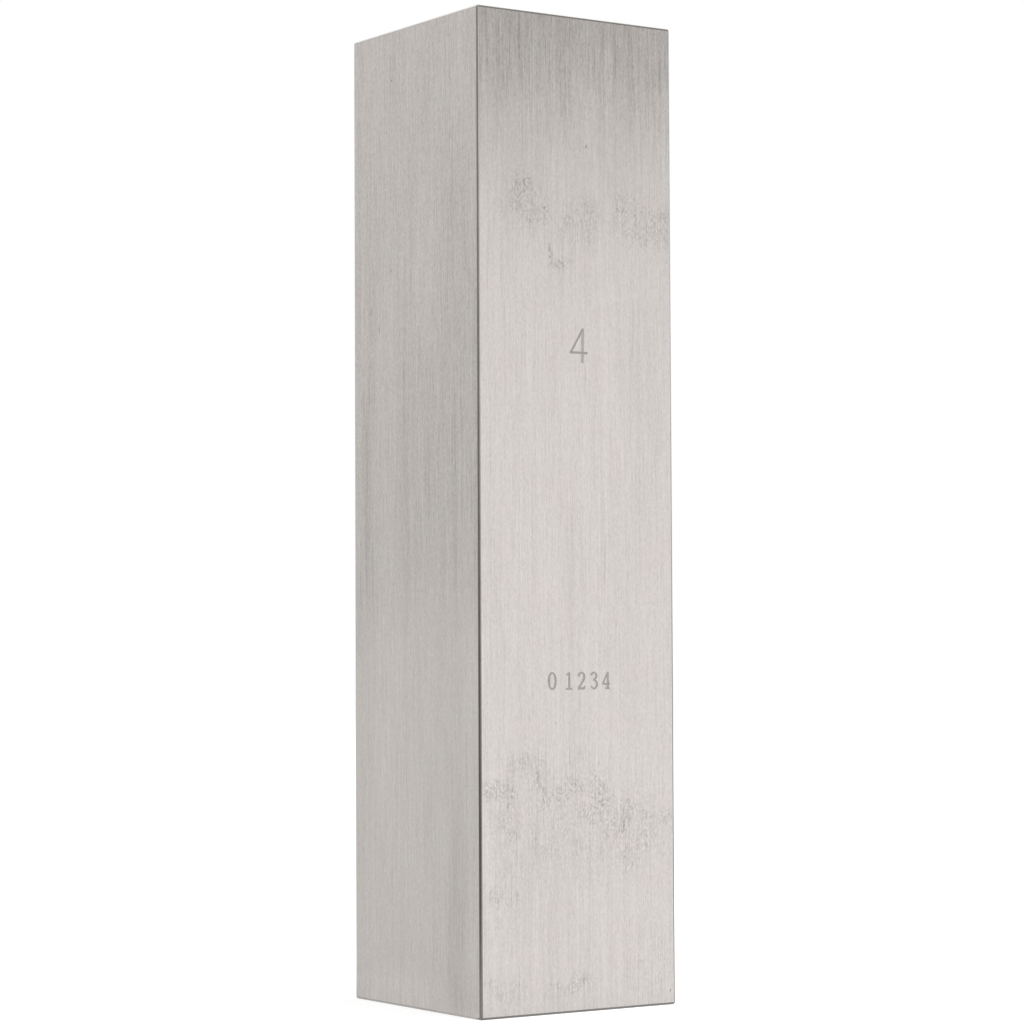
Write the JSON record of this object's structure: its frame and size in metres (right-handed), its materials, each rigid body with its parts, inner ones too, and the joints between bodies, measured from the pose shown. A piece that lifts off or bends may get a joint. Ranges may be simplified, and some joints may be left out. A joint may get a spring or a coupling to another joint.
{
  "type": "square gauge block",
  "caption": "Square bar of hardened steel with lapped end faces, used as a length standard, with a countersunk hole along its axis for a tie rod.",
  "frame": {"origin": "centre of the lower measuring face, on which the block stands", "axes": "+Z along the measured length to the upper measuring face, -Y out of the side face that carries the marks, +X to the right of a viewer who reads them"},
  "size_m": [0.0242, 0.0242, 0.1016],
  "materials": {
    "hardened_steel": "ground side faces with a fine lengthwise grain, lapped measuring faces"
  },
  "bodies": {
    "root": {"gauge_block": "hardened_steel"}
  },
  "joints": []
}
